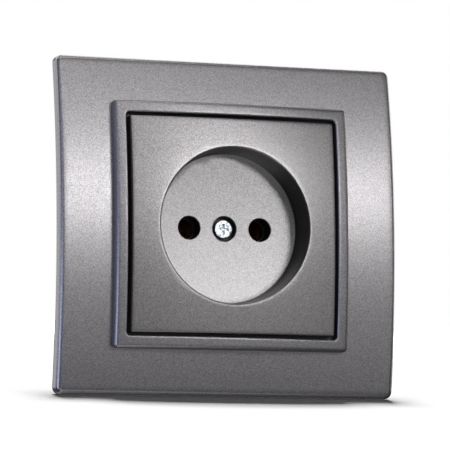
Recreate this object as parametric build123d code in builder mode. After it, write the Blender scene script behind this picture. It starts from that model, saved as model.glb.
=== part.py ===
from build123d import *
import os
from math import sqrt

# Flush wall socket with two round pin holes and no earth contact, in millimetres.
# The origin is the centre of the box-screw pattern on the wall plane.
# The front faces -Y, the mechanism reaches along +Y into the wall box, and +Z is up.
# Heights are measured from the wall plane towards the room, depths into the wall.

# Outer frame: one moulding whose face is part of a cylinder about a level axis
frame_width = 90.0
frame_height = 85.0
frame_corner = 1.8
frame_fillet = 1.1
frame_skin = 2.0
frame_edge = 3.4
edge_wall = 1.8
face_radius = 240.0
seat_inset = 5.0
seat_wall = 1.5
gusset_wall = 1.2
gusset_height = 1.6
gusset_pitch = 22.0

# Trim ring: the raised square surround that holds the frame down, its face domed both ways
ring_opening = 56.2
ring_rise = 4.5
ring_corner = 0.9
ring_opening_corner = 1.0
ring_fillet = 0.75
ring_opening_fillet = 0.45
foot_overhang = 1.7
sleeve_wall = 1.3
ledge_thickness = 1.5
ledge_width = 2.1
box_screw_room = 4.0
tab_length = 10.0
tab_reach = 0.4

# Cover: the square face, domed like the ring, with its round well
cover_gap = 0.85
cover_rise = 4.4
cover_skin = 2.0
cover_wall = 1.8
cover_corner = 0.6
cover_fillet = 0.4
well_radius = 19.9
well_depth = 8.9
well_draft = 0.75
well_wall = 1.4
rim_fillet = 0.45
floor_thickness = 2.0
pin_spacing = 19.0
pin_hole_radius = 2.95
collar_wall = 1.0
collar_length = 2.8
screw_well_radius = 3.2
screw_well_wall = 0.8
screw_seat_thickness = 1.3

# Cover screw and the square nut that it turns into
cover_thread_radius = 1.5
cover_head_radius = 2.35
cover_head_height = 1.6
cover_head_round = 0.25
cover_head_sink = 1.2
cover_screw_length = 12.0
drive_width = 0.8
drive_span = 3.2
drive_depth = 0.9
nut_size = 5.5
nut_thickness = 1.8
nut_depth = 8.0

# Mounting plate of sheet steel
plate_thickness = 1.0
plate_corner = 9.0
box_spacing = 60.0
box_slot_width = 4.2
box_slot_length = 7.0
bead_length = 10.0
bead_width = 1.8
bead_rise = 0.4
bead_inset = 3.0
bead_offset = 15.0

# Contact base and its rear cover, which hold the live pieces
boss_radius = 18.2
pin_passage_radius = 2.6
base_front_wall = 4.0
base_depth = 19.0
rear_thickness = 2.5
cavity_width = 8.4
cavity_height = 11.2
pad_height = 1.0
rivet_radius = 1.5
rivet_head_radius = 2.3
rivet_head_height = 0.9
rivet_edge = 3.2

# Contacts: brass strip folded into two jaws, with a tail up to the terminal
strip = 0.8
jaw_gap = 3.8
jaw_height = 6.4
jaw_lip = 1.0
jaw_lip_length = 2.0
jaw_start = 5.2
bend_radius = 0.8
tail_width = 5.2
clip_thickness = 0.5
clip_length = 4.0
clip_start = 9.0

# Terminals: brass blocks with a screw from above and the wire from behind
terminal_height = 16.0
block_width = 7.0
block_height = 7.6
block_length = 8.0
wire_radius = 1.6
wire_entry_radius = 2.1
wire_entry_chamfer = 0.7
terminal_thread_radius = 1.7
terminal_head_radius = 2.6
terminal_head_height = 2.0

# Spreader claws, each swinging with its own screw
claw_screw_offset = 7.0
claw_thread_radius = 1.5
claw_head_radius = 2.6
claw_head_height = 2.0
claw_head_round = 0.5
claw_screw_tip = 2.9
claw_strip = 1.4
claw_width = 7.0
claw_leg_width = 4.2
claw_bend = 1.1
claw_foot_rise = 3.4
claw_leg_start = 3.0
claw_foot_inside = 3.0
claw_leg_gap = 0.5
claw_tooth = 1.0
claw_side_gap = 2.2

# Clearances
seam = 0.12
sleeve_clearance = 0.2
floor_clearance = 0.5
plate_clearance = 0.5
boss_clearance = 0.2
recess_clearance = 0.3
screw_clearance = 0.15
thread_clearance = 0.05
contact_clearance = 0.3
swing_clearance = 0.6
head_lift = 0.1
head_gap = 0.95
rivet_gap = 0.45

# The stack from the wall to the crest of each face
floor_back = plate_thickness + floor_clearance
floor_front = floor_back + floor_thickness
cover_crest = floor_front + well_depth
frame_crest = cover_crest - cover_rise
ring_crest = frame_crest + ring_rise
sleeve_back = plate_thickness + box_screw_room
ledge_top = sleeve_back + ledge_thickness
beyond = 2 * cover_crest

# Sizes that follow from a neighbour
cover_size = ring_opening - 2 * cover_gap
sleeve_size = ring_opening + 2 * sleeve_wall
sleeve_corner = ring_opening_corner + sleeve_wall
ring_size = sleeve_size + 2 * foot_overhang
aperture = sleeve_size + 2 * sleeve_clearance
floor_radius = well_radius - well_draft
pin_x = pin_spacing / 2
collar_radius = pin_hole_radius + collar_wall
screw_boss_radius = screw_well_radius + screw_well_wall
cover_seat = floor_front - cover_head_sink - cover_head_height
collar_end = floor_back - collar_length
boss_end = cover_seat - screw_seat_thickness
seat_width = frame_width - 2 * seat_inset
seat_height = frame_height - 2 * seat_inset
plate_width = seat_width - 2 * (seat_wall + plate_clearance)
plate_height = seat_height - 2 * (seat_wall + plate_clearance)
rivet_z = floor_radius + well_wall + rivet_gap + rivet_head_radius
mechanism_radius = rivet_z + rivet_edge
claw_pitch = floor_radius + well_wall + head_gap + claw_head_radius
claw_x = sqrt(claw_pitch**2 - claw_screw_offset**2)
base_width = 2 * (claw_x - claw_thread_radius - claw_side_gap)
claw_depth = base_depth - claw_foot_rise
claw_screw_length = plate_thickness + head_lift + claw_depth + claw_strip + claw_screw_tip
contact_back = base_depth - pad_height
block_front = contact_back - strip - block_length
block_top = terminal_height + block_height / 2
nut_room = nut_size + 2 * screw_clearance

wall = Plane.XZ
sides = {"left": -1, "right": 1}


def crown(crest):
    """Radius of the crowned or domed surface with this crest; all of them share one centre."""
    return face_radius - frame_crest + crest


def fall(crest, away):
    """How far such a surface has fallen back at this distance from its crest."""
    return crown(crest) - sqrt(crown(crest) ** 2 - away**2)


def behind_crown(crest, mode):
    """In a part: keep or cut what lies behind the surface crowned about a level axis, with this crest."""
    with Locations((0, face_radius - frame_crest, 0)):
        Cylinder(crown(crest), 2 * frame_width, rotation=(0, 90, 0), mode=mode)


def behind_dome(crest, mode):
    """In a part: keep or cut what lies behind the surface domed both ways, with this crest."""
    with Locations((0, face_radius - frame_crest, 0)):
        Sphere(crown(crest), mode=mode)


def faced_block(size, corner, crest, back=0, behind=behind_dome):
    """A block with a flat back and a crowned or domed face; size is its width and height."""
    with BuildPart() as block:
        with BuildSketch(wall.offset(back)):
            RectangleRounded(*size, corner)
        extrude(amount=beyond)
        behind(crest, Mode.INTERSECT)
    return block.part


def mechanism_outline():
    """In a sketch: the round outline with a flat at each side that the base and its cover share."""
    Circle(mechanism_radius)
    Rectangle(base_width, 2 * mechanism_radius, mode=Mode.INTERSECT)


def front_face(builder, shape):
    """The crowned or domed face towards the room, which is the largest of its shape."""
    return builder.faces().filter_by(shape).sort_by(SortBy.AREA)[-1]


# Outer frame: crowned skin, an edge that follows the crown, and a seat rib that meets the wall
frame_size = (frame_width, frame_height)
hollow_size = (frame_width - 2 * edge_wall, frame_height - 2 * edge_wall)
seat_size = (seat_width, seat_height)
frame_block = faced_block(frame_size, frame_corner, frame_crest, behind=behind_crown)
frame_hollow = faced_block(hollow_size, frame_corner, frame_crest - frame_skin, behind=behind_crown)
seat_block = faced_block(seat_size, frame_corner, frame_crest - frame_skin / 2, behind=behind_crown)
with BuildPart() as frame_seat:
    add(seat_block)
    with BuildSketch(wall):
        RectangleRounded(seat_width - 2 * seat_wall, seat_height - 2 * seat_wall, frame_corner)
    extrude(amount=beyond, mode=Mode.SUBTRACT)
with BuildPart() as frame_gussets:
    with BuildSketch(wall):
        with GridLocations(0, gusset_pitch, 1, 3):
            Rectangle(frame_width - edge_wall, gusset_wall)
        with GridLocations(gusset_pitch, 0, 3, 1):
            Rectangle(gusset_wall, frame_height - edge_wall)
        Rectangle(seat_width - seat_wall, seat_height - seat_wall, mode=Mode.SUBTRACT)
    extrude(amount=beyond)
    behind_crown(frame_crest - frame_skin / 2, Mode.INTERSECT)
    behind_crown(frame_crest - frame_skin - gusset_height, Mode.SUBTRACT)
with BuildPart() as outer_frame:
    add(frame_block)
    behind_crown(frame_crest - frame_edge, Mode.SUBTRACT)
    fillet(front_face(outer_frame, GeomType.CYLINDER).outer_wire().edges(), frame_fillet)
    add(frame_hollow, mode=Mode.SUBTRACT)
    add(frame_seat.part)
    add(frame_gussets.part)
    with BuildSketch(wall):
        RectangleRounded(aperture, aperture, sleeve_corner + sleeve_clearance)
    extrude(amount=beyond, mode=Mode.SUBTRACT)

# Trim ring: a foot over the frame's face, a sleeve through its aperture and a ledge for the cover
ring_block = faced_block((ring_size, ring_size), ring_corner, ring_crest)
ring_sleeve = faced_block(
    (sleeve_size, sleeve_size), sleeve_corner, frame_crest + sleeve_wall, sleeve_back, behind_crown
)
with BuildPart() as ring_foot:
    add(ring_block)
    behind_crown(frame_crest + seam, Mode.SUBTRACT)
with BuildPart() as trim_ring:
    add(ring_foot.part)
    add(ring_sleeve)
    with BuildSketch(wall.offset(ledge_top)):
        RectangleRounded(ring_opening, ring_opening, ring_opening_corner)
    extrude(amount=beyond, mode=Mode.SUBTRACT)
    with BuildSketch(wall):
        RectangleRounded(
            ring_opening - 2 * ledge_width, ring_opening - 2 * ledge_width, ring_opening_corner
        )
    extrude(amount=beyond, mode=Mode.SUBTRACT)
    fillet(front_face(trim_ring, GeomType.SPHERE).outer_wire().edges(), ring_fillet)
    fillet(front_face(trim_ring, GeomType.SPHERE).inner_wires()[0].edges(), ring_opening_fillet)
    tab_top = frame_crest - frame_skin - seam - fall(frame_crest, tab_length / 2)
    with BuildSketch(wall.offset(sleeve_back)):
        Rectangle(aperture + 2 * tab_reach, tab_length)
        Rectangle(sleeve_size - sleeve_wall, tab_length, mode=Mode.SUBTRACT)
    extrude(amount=tab_top - sleeve_back)

# Cover: a domed square cap with a round well, pin-hole collars and a boss for its screw
cover_room = cover_size - 2 * cover_wall
cover_block = faced_block((cover_size, cover_size), cover_corner, cover_crest, ledge_top)
cover_hollow = faced_block((cover_room, cover_room), cover_corner, cover_crest - cover_skin)
cup_top = cover_crest - (cover_skin + fall(cover_crest, well_radius + well_wall)) / 2
with BuildPart() as socket_cover:
    add(cover_block)
    fillet(front_face(socket_cover, GeomType.SPHERE).outer_wire().edges(), cover_fillet)
    add(cover_hollow, mode=Mode.SUBTRACT)
    with BuildSketch(Plane.XY):
        with BuildLine():
            Polyline(
                (0, -floor_back),
                (floor_radius + well_wall, -floor_back),
                (well_radius + well_wall, -cup_top),
                (0, -cup_top),
                close=True,
            )
        make_face()
    revolve(axis=Axis.Y)
    with BuildSketch(Plane.XY):
        with BuildLine():
            Polyline(
                (0, -floor_front),
                (floor_radius, -floor_front),
                (well_radius, -cover_crest),
                (well_radius, -beyond),
                (0, -beyond),
                close=True,
            )
        make_face()
    revolve(axis=Axis.Y, mode=Mode.SUBTRACT)
    fillet(front_face(socket_cover, GeomType.SPHERE).inner_wires()[0].edges(), rim_fillet)
    with BuildSketch(wall.offset(floor_back)):
        with GridLocations(pin_spacing, 0, 2, 1):
            Circle(collar_radius)
    extrude(amount=-collar_length)
    with BuildSketch(wall.offset(floor_back)):
        Circle(screw_boss_radius)
    extrude(amount=boss_end - floor_back)
    with BuildSketch(wall.offset(floor_front)):
        with GridLocations(pin_spacing, 0, 2, 1):
            Circle(pin_hole_radius)
        Circle(cover_thread_radius + screw_clearance)
    extrude(amount=-beyond, mode=Mode.SUBTRACT)
    with BuildSketch(wall.offset(floor_front)):
        Circle(screw_well_radius)
    extrude(amount=cover_seat - floor_front, mode=Mode.SUBTRACT)

# Cover screw: pan head with a combined cross and slot drive
with BuildPart() as cover_screw:
    with BuildSketch(wall.offset(cover_seat)):
        Circle(cover_head_radius)
    extrude(amount=cover_head_height)
    fillet(cover_screw.faces().sort_by(Axis.Y)[0].edges(), cover_head_round)
    with BuildSketch(wall.offset(cover_seat)):
        Circle(cover_thread_radius)
    extrude(amount=-cover_screw_length)
    with BuildSketch(wall.offset(cover_seat + cover_head_height)):
        Rectangle(drive_span, drive_width)
        Rectangle(drive_width, drive_span)
    extrude(amount=-drive_depth, mode=Mode.SUBTRACT)

# Cover nut: a square nut held from turning in the contact base
with BuildPart() as cover_nut:
    with BuildSketch(wall.offset(-nut_depth)):
        Rectangle(nut_size, nut_size)
        Circle(cover_thread_radius + thread_clearance, mode=Mode.SUBTRACT)
    extrude(amount=-nut_thickness)

# Mounting plate: pressed sheet steel with slots for the box screws
with BuildPart() as mounting_plate:
    with BuildSketch(wall) as plate_outline:
        Rectangle(plate_width, plate_height)
        chamfer(plate_outline.vertices(), plate_corner)
        Circle(boss_radius + boss_clearance, mode=Mode.SUBTRACT)
        with GridLocations(box_spacing, 0, 2, 1):
            SlotOverall(box_slot_length, box_slot_width, mode=Mode.SUBTRACT)
        with GridLocations(0, box_spacing, 1, 2):
            SlotOverall(box_slot_length, box_slot_width, rotation=90, mode=Mode.SUBTRACT)
        with GridLocations(0, 2 * rivet_z, 1, 2):
            Circle(rivet_radius + thread_clearance, mode=Mode.SUBTRACT)
        with Locations((claw_x, -claw_screw_offset), (-claw_x, claw_screw_offset)):
            Circle(claw_thread_radius + swing_clearance, mode=Mode.SUBTRACT)
    extrude(amount=plate_thickness)
    bead_x = plate_width / 2 - bead_inset
    bead_z = plate_height / 2 - bead_inset
    for height, mode in ((plate_thickness, Mode.ADD), (0, Mode.SUBTRACT)):
        with BuildSketch(wall.offset(height)):
            with GridLocations(2 * bead_offset, 2 * bead_z, 2, 2):
                SlotOverall(bead_length, bead_width)
            with GridLocations(2 * bead_x, 2 * bead_offset, 2, 2):
                SlotOverall(bead_length, bead_width, rotation=90)
        extrude(amount=bead_rise, mode=mode)

# Contact base: the insulating body, with a boss through the plate and cavities open to the rear
with BuildPart() as contact_base:
    with BuildSketch(wall):
        mechanism_outline()
    extrude(amount=-base_depth)
    with BuildSketch(wall):
        Circle(boss_radius)
    extrude(amount=floor_back - floor_clearance)
    with BuildSketch(wall.offset(collar_end - recess_clearance)):
        with GridLocations(pin_spacing, 0, 2, 1):
            Circle(collar_radius + recess_clearance)
    extrude(amount=beyond, mode=Mode.SUBTRACT)
    with BuildSketch(wall.offset(boss_end - recess_clearance)):
        Circle(screw_boss_radius + recess_clearance)
    extrude(amount=beyond, mode=Mode.SUBTRACT)
    with BuildSketch(wall):
        with GridLocations(pin_spacing, 0, 2, 1):
            Circle(pin_passage_radius)
        Circle(cover_thread_radius + screw_clearance)
        with GridLocations(0, 2 * rivet_z, 1, 2):
            Circle(rivet_radius + thread_clearance)
    extrude(amount=-base_depth, mode=Mode.SUBTRACT)
    with BuildSketch(wall.offset(-base_depth)):
        with GridLocations(pin_spacing, 0, 2, 1):
            Rectangle(cavity_width, cavity_height)
    extrude(amount=base_depth - base_front_wall, mode=Mode.SUBTRACT)
    chamber_top = block_top + contact_clearance
    chamber_height = block_height + 2 * contact_clearance
    with BuildSketch(wall.offset(-base_depth)):
        with Locations((-pin_x, terminal_height), (pin_x, terminal_height)):
            Rectangle(cavity_width, chamber_height)
    extrude(amount=base_depth - block_front + contact_clearance, mode=Mode.SUBTRACT)
    with BuildSketch(wall.offset(-base_depth)):
        with Locations((-pin_x, 0), (pin_x, 0)):
            Rectangle(tail_width + 2 * contact_clearance, chamber_top, align=(Align.CENTER, Align.MIN))
    extrude(amount=pad_height + strip + contact_clearance, mode=Mode.SUBTRACT)
    with BuildSketch(Plane.XY.offset(terminal_height)):
        with Locations((-pin_x, block_front + block_length / 2), (pin_x, block_front + block_length / 2)):
            Circle(terminal_head_radius + recess_clearance)
    extrude(amount=mechanism_radius, mode=Mode.SUBTRACT)
    with BuildSketch(wall.offset(-base_depth)):
        Rectangle(nut_room, nut_room)
    extrude(amount=base_depth - nut_depth, mode=Mode.SUBTRACT)

# Rear cover: closes the cavities, holds the contacts and the nut, and lets the wires in
with BuildPart() as rear_cover:
    with BuildSketch(wall.offset(-base_depth)):
        mechanism_outline()
    extrude(amount=-rear_thickness)
    with BuildSketch(wall.offset(-base_depth)):
        with GridLocations(pin_spacing, 0, 2, 1):
            Rectangle(tail_width, jaw_height)
    extrude(amount=pad_height - thread_clearance)
    with BuildSketch(wall.offset(-base_depth)):
        Rectangle(nut_size, nut_size)
    extrude(amount=base_depth - nut_depth - nut_thickness - thread_clearance)
    with BuildSketch(wall):
        Circle(cover_thread_radius + screw_clearance)
    extrude(amount=-base_depth, mode=Mode.SUBTRACT)
    with BuildSketch(wall.offset(-base_depth)):
        with Locations((-pin_x, terminal_height), (pin_x, terminal_height)):
            Circle(wire_entry_radius)
    extrude(amount=-rear_thickness, mode=Mode.SUBTRACT)
    chamfer(rear_cover.faces().sort_by(Axis.Y)[-1].inner_wires().edges(), wire_entry_chamfer)
    with BuildSketch(wall.offset(-base_depth)):
        with GridLocations(0, 2 * rivet_z, 1, 2):
            Circle(rivet_radius + thread_clearance)
    extrude(amount=-rear_thickness, mode=Mode.SUBTRACT)

# Base rivets: two through the plate, the base and the rear cover
with BuildPart() as base_rivets:
    rivet_end = -base_depth - rear_thickness
    for seat, head in ((plate_thickness, rivet_head_height), (rivet_end, -rivet_head_height)):
        with BuildSketch(wall.offset(seat)):
            with GridLocations(0, 2 * rivet_z, 1, 2):
                Circle(rivet_head_radius)
        extrude(amount=head)
    with BuildSketch(wall.offset(plate_thickness)):
        with GridLocations(0, 2 * rivet_z, 1, 2):
            Circle(rivet_radius)
    extrude(amount=rivet_end - plate_thickness)


def make_contact(side):
    """One pole's brass strip: two jaws for the pin, and a tail behind the terminal block."""
    reach = jaw_gap / 2 + strip / 2
    with BuildPart() as contact:
        with BuildSketch(Plane(origin=(side * pin_x, 0, -jaw_height / 2))):
            with BuildLine():
                FilletPolyline(
                    (-reach - jaw_lip, jaw_start),
                    (-reach, jaw_start + jaw_lip_length),
                    (-reach, contact_back - strip / 2),
                    (reach, contact_back - strip / 2),
                    (reach, jaw_start + jaw_lip_length),
                    (reach + jaw_lip, jaw_start),
                    radius=bend_radius,
                )
            trace(line_width=strip)
        extrude(amount=jaw_height)
        with BuildSketch(wall.offset(-contact_back)):
            with Locations((side * pin_x, -jaw_height / 2)):
                Rectangle(tail_width, jaw_height / 2 + block_top, align=(Align.CENTER, Align.MIN))
            with Locations((side * pin_x, terminal_height)):
                Circle(wire_entry_radius, mode=Mode.SUBTRACT)
        extrude(amount=strip)
    return contact


def make_clip(side):
    """The steel clip that keeps one contact's jaws pressed together."""
    inside = jaw_gap + 2 * strip + 2 * thread_clearance
    outside = inside + 2 * clip_thickness
    bridge = -jaw_height / 2 - thread_clearance - clip_thickness
    with BuildPart() as clip:
        with BuildSketch(wall.offset(-clip_start)):
            with Locations((side * pin_x, bridge)):
                Rectangle(outside, jaw_height, align=(Align.CENTER, Align.MIN))
            with Locations((side * pin_x, bridge + clip_thickness)):
                Rectangle(inside, jaw_height, align=(Align.CENTER, Align.MIN), mode=Mode.SUBTRACT)
        extrude(amount=-clip_length)
    return clip


def make_terminal_block(side):
    """One pole's brass block, bored for the wire and tapped for its screw."""
    with BuildPart() as block:
        with BuildSketch(wall.offset(-block_front)):
            with Locations((side * pin_x, terminal_height)):
                Rectangle(block_width, block_height)
                Circle(wire_radius, mode=Mode.SUBTRACT)
        extrude(amount=-block_length)
        with BuildSketch(Plane.XY.offset(terminal_height)):
            with Locations((side * pin_x, block_front + block_length / 2)):
                Circle(terminal_thread_radius + thread_clearance)
        extrude(amount=block_height, mode=Mode.SUBTRACT)
    return block


def make_claw(side):
    """One spreader claw: a leg beside the base and a tapped foot with a tooth at each edge."""
    leg_x = claw_x + claw_thread_radius + claw_leg_gap + claw_strip / 2
    foot_out = leg_x + claw_strip / 2 + claw_tooth
    foot_in = claw_x - claw_foot_inside
    claw_z = -side * claw_screw_offset
    with BuildPart() as claw:
        with BuildSketch(Plane(origin=(0, 0, claw_z - claw_leg_width / 2))):
            with BuildLine():
                FilletPolyline(
                    (side * foot_in, claw_depth + claw_strip / 2),
                    (side * leg_x, claw_depth + claw_strip / 2),
                    (side * leg_x, claw_leg_start),
                    radius=claw_bend,
                )
            trace(line_width=claw_strip)
        extrude(amount=claw_leg_width)
        with BuildSketch(wall.offset(-claw_depth)):
            with BuildLine():
                Polyline(
                    (side * foot_in, claw_z - claw_width / 2),
                    (side * foot_out, claw_z - claw_width / 2),
                    (side * (foot_out - claw_tooth), claw_z - claw_leg_width / 2),
                    (side * leg_x, claw_z - claw_leg_width / 2),
                    (side * leg_x, claw_z + claw_leg_width / 2),
                    (side * (foot_out - claw_tooth), claw_z + claw_leg_width / 2),
                    (side * foot_out, claw_z + claw_width / 2),
                    (side * foot_in, claw_z + claw_width / 2),
                    close=True,
                )
            make_face()
        extrude(amount=-claw_strip)
        with BuildSketch(wall):
            with Locations((side * claw_x, claw_z)):
                Circle(claw_thread_radius + thread_clearance)
        extrude(amount=-claw_depth - 2 * claw_strip, mode=Mode.SUBTRACT)
    return claw


def make_claw_screw(side):
    """One claw's long screw, with a slotted head on the plate."""
    claw_z = -side * claw_screw_offset
    with BuildPart() as screw:
        with BuildSketch(wall.offset(plate_thickness + head_lift)):
            with Locations((side * claw_x, claw_z)):
                Circle(claw_head_radius)
        extrude(amount=claw_head_height)
        fillet(screw.faces().sort_by(Axis.Y)[0].edges(), claw_head_round)
        with BuildSketch(wall.offset(plate_thickness + head_lift)):
            with Locations((side * claw_x, claw_z)):
                Circle(claw_thread_radius)
        extrude(amount=-claw_screw_length)
        with BuildSketch(wall.offset(plate_thickness + head_lift + claw_head_height)):
            with Locations((side * claw_x, claw_z)):
                Rectangle(2 * claw_head_radius, drive_width)
        extrude(amount=-drive_depth, mode=Mode.SUBTRACT)
    return screw


# Terminal screws: one above each block, with the tip just clear of the wire bore
with BuildPart() as terminal_screws:
    screw_places = [(side * pin_x, block_front + block_length / 2) for side in sides.values()]
    screw_seat = block_top + screw_clearance
    with BuildSketch(Plane.XY.offset(screw_seat)):
        with Locations(*screw_places):
            Circle(terminal_head_radius)
    extrude(amount=terminal_head_height)
    with BuildSketch(Plane.XY.offset(terminal_height + wire_radius)):
        with Locations(*screw_places):
            Circle(terminal_thread_radius)
    extrude(amount=screw_seat - terminal_height - wire_radius)
    with BuildSketch(Plane.XY.offset(screw_seat + terminal_head_height)):
        with Locations(*screw_places):
            Rectangle(2 * terminal_head_radius, drive_width)
    extrude(amount=-drive_depth, mode=Mode.SUBTRACT)

pieces = {
    "outer_frame": outer_frame,
    "trim_ring": trim_ring,
    "socket_cover": socket_cover,
    "cover_screw": cover_screw,
    "cover_nut": cover_nut,
    "mounting_plate": mounting_plate,
    "contact_base": contact_base,
    "rear_cover": rear_cover,
    "base_rivets": base_rivets,
    "terminal_screws": terminal_screws,
}
for name, side in sides.items():
    pieces[name + "_contact"] = make_contact(side)
    pieces[name + "_contact_clip"] = make_clip(side)
    pieces[name + "_terminal_block"] = make_terminal_block(side)
    pieces[name + "_claw"] = make_claw(side)
    pieces[name + "_claw_screw"] = make_claw_screw(side)

os.makedirs("parts", exist_ok=True)
for name, piece in pieces.items():
    piece.part.label = name
    export_step(piece.part, f"parts/{name}.step")
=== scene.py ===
import bmesh
import bpy
from math import cos, pi, radians, sin, sqrt
from mathutils import Matrix, Vector
from mathutils.geometry import delaunay_2d_cdt


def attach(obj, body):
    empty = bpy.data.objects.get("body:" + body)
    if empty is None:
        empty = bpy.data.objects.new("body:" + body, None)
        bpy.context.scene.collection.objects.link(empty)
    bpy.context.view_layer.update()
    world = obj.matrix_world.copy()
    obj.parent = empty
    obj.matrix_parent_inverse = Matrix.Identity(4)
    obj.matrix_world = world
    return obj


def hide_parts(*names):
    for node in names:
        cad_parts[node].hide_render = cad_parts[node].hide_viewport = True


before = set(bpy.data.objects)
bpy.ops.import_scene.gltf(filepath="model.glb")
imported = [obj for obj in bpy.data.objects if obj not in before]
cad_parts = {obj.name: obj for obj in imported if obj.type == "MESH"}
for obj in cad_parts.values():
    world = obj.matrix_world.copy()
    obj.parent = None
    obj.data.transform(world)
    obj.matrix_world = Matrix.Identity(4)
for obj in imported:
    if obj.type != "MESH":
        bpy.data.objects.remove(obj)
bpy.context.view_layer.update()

# Outer frame: one ABS moulding whose face bows about a level axis, hollow behind, with a seat rib
# that meets the wall and short gussets out to the edge. Sizes are in millimetres; the wall plane is
# y = 0 and the room is towards -y.
mm = 0.001
frame_width = 90.0
frame_height = 85.0
frame_corner = 1.8
frame_fillet = 1.1
frame_skin = 2.0
frame_edge = 3.4
edge_wall = 1.8
face_radius = 240.0
frame_crest = 8.0
frame_bands = 12
seat_inset = 5.0
seat_wall = 1.5
gusset_wall = 1.2
gusset_height = 1.6
gusset_pitch = 22.0
gusset_overlap = 0.2  # how far a gusset's ends reach into the walls
gusset_root = 0.1  # and its front into the skin
aperture = 59.2
aperture_corner = 2.5
corner_steps = 8
side_steps = 44
weld = 0.0002  # points closer than this become one
crease = 35  # degrees; flatter edges are shaded smooth
skin_margin = 0.05  # a face this close to a surface belongs to it
side_slope = 0.3  # a face whose normal has less of y than this looks sideways


def crowned(crest):
    """The surface bowed about a level axis, with this crest, as y at a place on it."""
    middle = face_radius - frame_crest
    return lambda x, z: middle - sqrt((middle + crest) ** 2 - z * z)


def flat(height):
    """The flat surface this far out from the wall."""
    return lambda x, z: -height


def outline(width, height, corner):
    """Points round a rectangle with round corners, always as many and in the same order."""
    points = []
    corners = [(1, 1), (-1, 1), (-1, -1), (1, -1)]
    for quarter, (side, up) in enumerate(corners):
        next_side, next_up = corners[(quarter + 1) % 4]
        x, z = side * (width / 2 - corner), up * (height / 2 - corner)
        for step in range(corner_steps + 1):
            angle = pi / 2 * (quarter + step / corner_steps)
            points.append((x + corner * cos(angle), z + corner * sin(angle)))
        start = points[-1]
        end = (
            next_side * (width / 2 - corner) + corner * cos(angle),
            next_up * (height / 2 - corner) + corner * sin(angle),
        )
        for step in range(1, side_steps):
            t = step / side_steps
            x, z = (a + (b - a) * t for a, b in zip(start, end))
            points.append((x, z))
    return points


def inset_outline(width, height, corner, inset):
    """The outline this far inside a rectangle, or outside it where the inset is negative."""
    return outline(width - 2 * inset, height - 2 * inset, corner - inset)


def between(first, last, t):
    """The points a share t of the way from one outline to another."""
    return [(a[0] + (b[0] - a[0]) * t, a[1] + (b[1] - a[1]) * t) for a, b in zip(first, last)]


def laid(points, surface, depth=0.0):
    """Points of an outline laid on a surface, or this far behind it."""
    return [(x, surface(x, z) + depth, z) for x, z in points]


def rounding(radius, steps=6):
    """How far in from an edge and how far behind the face each step of a rounded edge lies."""
    angles = [pi / 2 * step / steps for step in range(steps + 1)]
    return [(radius * (1 - cos(angle)), radius * (1 - sin(angle))) for angle in angles]


def add_loft(verts, faces, loops, closed=False):
    """Adds quads between loops of equally many points; closed joins the last loop to the first."""
    first = len(verts)
    count = len(loops[0])
    for loop in loops:
        verts.extend(loop)
    for row in range(len(loops) if closed else len(loops) - 1):
        a = first + row * count
        b = first + (row + 1) % len(loops) * count
        for i in range(count):
            j = (i + 1) % count
            faces.append((a + i, a + j, b + j, b + i))


def add_block(verts, faces, x_ends, z_ends, back, front):
    """Adds a small block between two surfaces."""
    (left, right), (low, high) = x_ends, z_ends
    corners = [(left, low), (right, low), (right, high), (left, high)]
    a = len(verts)
    b = a + 4
    verts.extend(laid(corners, back) + laid(corners, front))
    faces.extend([(a, a + 1, a + 2, a + 3), (b, b + 1, b + 2, b + 3)])
    for i in range(4):
        j = (i + 1) % 4
        faces.append((a + i, a + j, b + j, b + i))


def make_piece(name, verts, faces, material, others=(), pick=None):
    """A piece from points in millimetres, smooth except along its real edges. If there are other
    materials, pick(centre, normal) gives each face the number of its own."""
    data = bpy.data.meshes.new(name)
    data.from_pydata([Vector(point) * mm for point in verts], [], faces)
    shape = bmesh.new()
    shape.from_mesh(data)
    bmesh.ops.remove_doubles(shape, verts=shape.verts, dist=weld * mm)
    bmesh.ops.recalc_face_normals(shape, faces=shape.faces)
    shape.to_mesh(data)
    shape.free()
    data.shade_smooth()
    data.set_sharp_from_angle(angle=radians(crease))
    data.materials.append(material)
    for other in others:
        data.materials.append(other)
    for polygon in data.polygons if pick else []:
        polygon.material_index = int(pick(polygon.center / mm, polygon.normal))
    piece = bpy.data.objects.new(name, data)
    bpy.context.scene.collection.objects.link(piece)
    return piece


def linear(colour):
    """An sRGB colour written as hex, such as 8f8d90, as a linear colour."""
    parts = [int(colour[i : i + 2], 16) / 255 for i in (0, 2, 4)]
    return [c / 12.92 if c <= 0.04045 else ((c + 0.055) / 1.055) ** 2.4 for c in parts] + [1.0]


def add_node(tree, kind, inputs=None, **settings):
    """Adds a node with its settings; each input is a value or another node's output."""
    made = tree.nodes.new(kind)
    for name, value in settings.items():
        setattr(made, name, value)
    for name, value in (inputs or {}).items():
        if isinstance(value, bpy.types.NodeSocket):
            tree.links.new(value, made.inputs[name])
        else:
            made.inputs[name].default_value = value
    return made


def new_material(name):
    """An empty material and its tree."""
    made = bpy.data.materials.new(name)
    made.use_nodes = True
    made.node_tree.nodes.clear()
    return made, made.node_tree


# Pearl lacquer sprayed on the ABS: mica flakes in an anthracite binder under a satin clear coat.
# The eye gets a wide soft highlight, deep darks beside it and a fine sparkle. Real flakes are about
# 0.03 mm; they are drawn 0.15 mm across so that they show. The well's floor gets painted shade.
flake_size = 0.15
flake_tilt = 0.03
flake_middle = (0.5, 0.5, 0.5)
lacquer_dark = "757374"
lacquer_light = "a4a1a3"
# Darker colours for the well's floor: painted shade.
well_shade_dark = "6f6e6f"
well_shade_light = "979596"


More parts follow.
